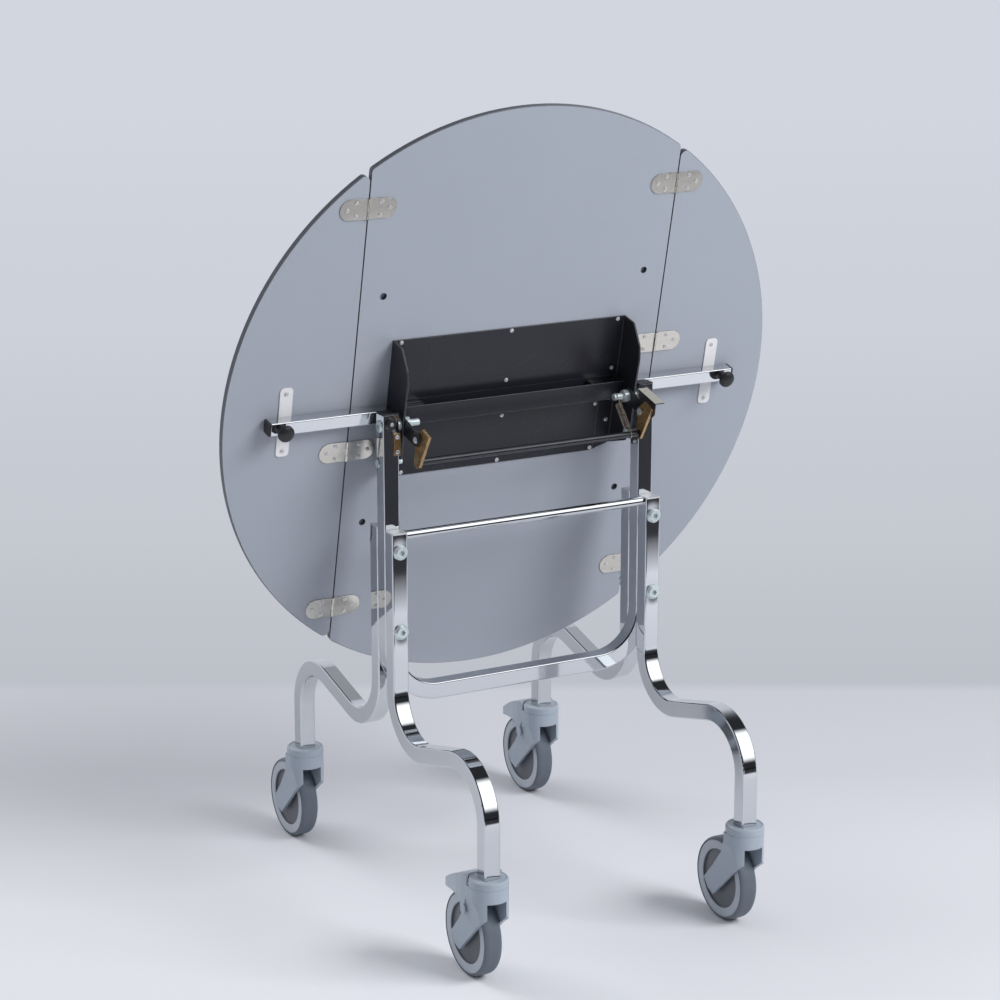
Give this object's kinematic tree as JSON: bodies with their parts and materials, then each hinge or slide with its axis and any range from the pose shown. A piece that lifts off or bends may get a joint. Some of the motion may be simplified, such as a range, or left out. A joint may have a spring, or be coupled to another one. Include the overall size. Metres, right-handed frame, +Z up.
{
  "type": "folding room service table",
  "caption": "Wheeled serving table with a round drop-leaf top stored tilted on a chromed tube frame with bent legs and swivel casters",
  "frame": {"origin": "on the floor, midway between the four caster swivel axes", "axes": "+X to the user's right along the tilt axis, +Y from the user towards the back, +Z up"},
  "size_m": [0.8998, 0.756, 1.1978],
  "materials": {
    "chrome_tube": "mirror chrome plate with sharp reflections",
    "plated_bar": "bright plated bar, a little duller than the frame",
    "zinc_hardware": "bright zinc plate",
    "screw_steel": "bright screw heads",
    "black_plastic": "black moulded plastic, satin",
    "brass_plate": "yellow passivated sheet, satin",
    "grey_moulding": "blue-grey moulded plastic, satin",
    "axle_steel": "plain steel",
    "wheel_plastic": "grey moulded wheel with a lighter ring",
    "tyre_rubber": "blue-grey non-marking tread",
    "laminate_board": "light grey laminate, satin, with a dark edge",
    "nickel_hinge": "warm nickel plate",
    "strip_plastic": "off-white nylon",
    "black_sheet": "black powder coat, satin",
    "spring_steel": "dark drawn wire"
  },
  "bodies": {
    "frame": {"u_frame": "chrome_tube", "front_leg_left": "chrome_tube", "front_leg_right": "chrome_tube", "back_leg_left": "chrome_tube", "back_leg_right": "chrome_tube", "crossbar": "chrome_tube", "leg_plugs": "zinc_hardware", "upright_plugs": "black_plastic", "frame_bolts": "zinc_hardware", "frame_nuts": "zinc_hardware", "pivot_bolts": "zinc_hardware", "pivot_bushes": "zinc_hardware", "stop_studs": "zinc_hardware", "buffers": "black_plastic", "keeper_plates": "brass_plate", "upright_screws": "screw_steel", "caster_collars": "grey_moulding"},
    "top": {"centre_panel": "laminate_board", "left_leaf": "laminate_board", "right_leaf": "laminate_board", "hinge_inner_plates": "nickel_hinge", "hinge_outer_plates": "nickel_hinge", "hinge_pins": "nickel_hinge", "hinge_screws": "screw_steel", "wear_strips": "strip_plastic", "plate_screws": "screw_steel", "top_bracket": "black_sheet", "channel_plate": "black_sheet", "latch_arms": "black_sheet", "hook_bolts": "zinc_hardware", "bar_guides": "black_plastic", "latch_spring": "spring_steel"},
    "left_bar": {"left_bar": "plated_bar", "left_bar_caps": "black_plastic", "left_knob": "black_plastic"},
    "right_bar": {"right_bar": "plated_bar", "right_bar_caps": "black_plastic", "right_knob": "black_plastic"},
    "latch": {"left_hook": "brass_plate", "right_hook": "brass_plate", "latch_rod": "zinc_hardware", "release_paddle": "black_sheet"},
    "fl_caster": {"fl_fork": "grey_moulding", "fl_axle": "axle_steel"},
    "fl_roller": {"fl_wheel": "wheel_plastic", "fl_tyre": "tyre_rubber"},
    "fl_brake": {"fl_pedal": "grey_moulding"},
    "fr_caster": {"fr_fork": "grey_moulding", "fr_axle": "axle_steel"},
    "fr_roller": {"fr_wheel": "wheel_plastic", "fr_tyre": "tyre_rubber"},
    "bl_caster": {"bl_fork": "grey_moulding", "bl_axle": "axle_steel"},
    "bl_roller": {"bl_wheel": "wheel_plastic", "bl_tyre": "tyre_rubber"},
    "br_caster": {"br_fork": "grey_moulding", "br_axle": "axle_steel"},
    "br_roller": {"br_wheel": "wheel_plastic", "br_tyre": "tyre_rubber"},
    "br_brake": {"br_pedal": "grey_moulding"}
  },
  "joints": [
    {"name": "top_tilt", "type": "hinge", "parent": "frame", "child": "top", "pos_m": [0, 0, 0.745], "axis": [1, 0, 0], "range_deg": [0, 77.25]},
    {"name": "left_bar_slide", "type": "slide", "parent": "top", "child": "left_bar", "axis": [1, 0, 0], "range_m": [0, 0.127]},
    {"name": "right_bar_slide", "type": "slide", "parent": "top", "child": "right_bar", "axis": [-1, 0, 0], "range_m": [0, 0.127]},
    {"name": "latch_release", "type": "hinge", "parent": "top", "child": "latch", "pos_m": [0, -0.046, 0.7306], "axis": [1, 0, 0], "range_deg": [-15, 0], "stiffness_Nm_per_rad": 0.5, "springref_deg": 14.32, "deforming": ["latch_spring"]},
    {"name": "fl_swivel", "type": "hinge", "parent": "frame", "child": "fl_caster", "pos_m": [-0.2125, -0.306, 0.14], "axis": [0, 0, 1], "continuous": true},
    {"name": "fl_spin", "type": "hinge", "parent": "fl_caster", "child": "fl_roller", "pos_m": [-0.2125, -0.26, 0.0625], "axis": [1, 0, 0], "continuous": true},
    {"name": "fl_brake_press", "type": "hinge", "parent": "fl_caster", "child": "fl_brake", "pos_m": [-0.2125, -0.28, 0.11], "axis": [1, 0, 0], "range_deg": [-10, 0]},
    {"name": "fr_swivel", "type": "hinge", "parent": "frame", "child": "fr_caster", "pos_m": [0.2125, -0.306, 0.14], "axis": [0, 0, 1], "continuous": true},
    {"name": "fr_spin", "type": "hinge", "parent": "fr_caster", "child": "fr_roller", "pos_m": [0.2125, -0.26, 0.0625], "axis": [1, 0, 0], "continuous": true},
    {"name": "bl_swivel", "type": "hinge", "parent": "frame", "child": "bl_caster", "pos_m": [-0.2125, 0.306, 0.14], "axis": [0, 0, 1], "continuous": true},
    {"name": "bl_spin", "type": "hinge", "parent": "bl_caster", "child": "bl_roller", "pos_m": [-0.2125, 0.352, 0.0625], "axis": [1, 0, 0], "continuous": true},
    {"name": "br_swivel", "type": "hinge", "parent": "frame", "child": "br_caster", "pos_m": [0.2125, 0.306, 0.14], "axis": [0, 0, 1], "continuous": true},
    {"name": "br_spin", "type": "hinge", "parent": "br_caster", "child": "br_roller", "pos_m": [0.2125, 0.352, 0.0625], "axis": [1, 0, 0], "continuous": true},
    {"name": "br_brake_press", "type": "hinge", "parent": "br_caster", "child": "br_brake", "pos_m": [0.2125, 0.332, 0.11], "axis": [1, 0, 0], "range_deg": [-10, 0]}
  ]
}
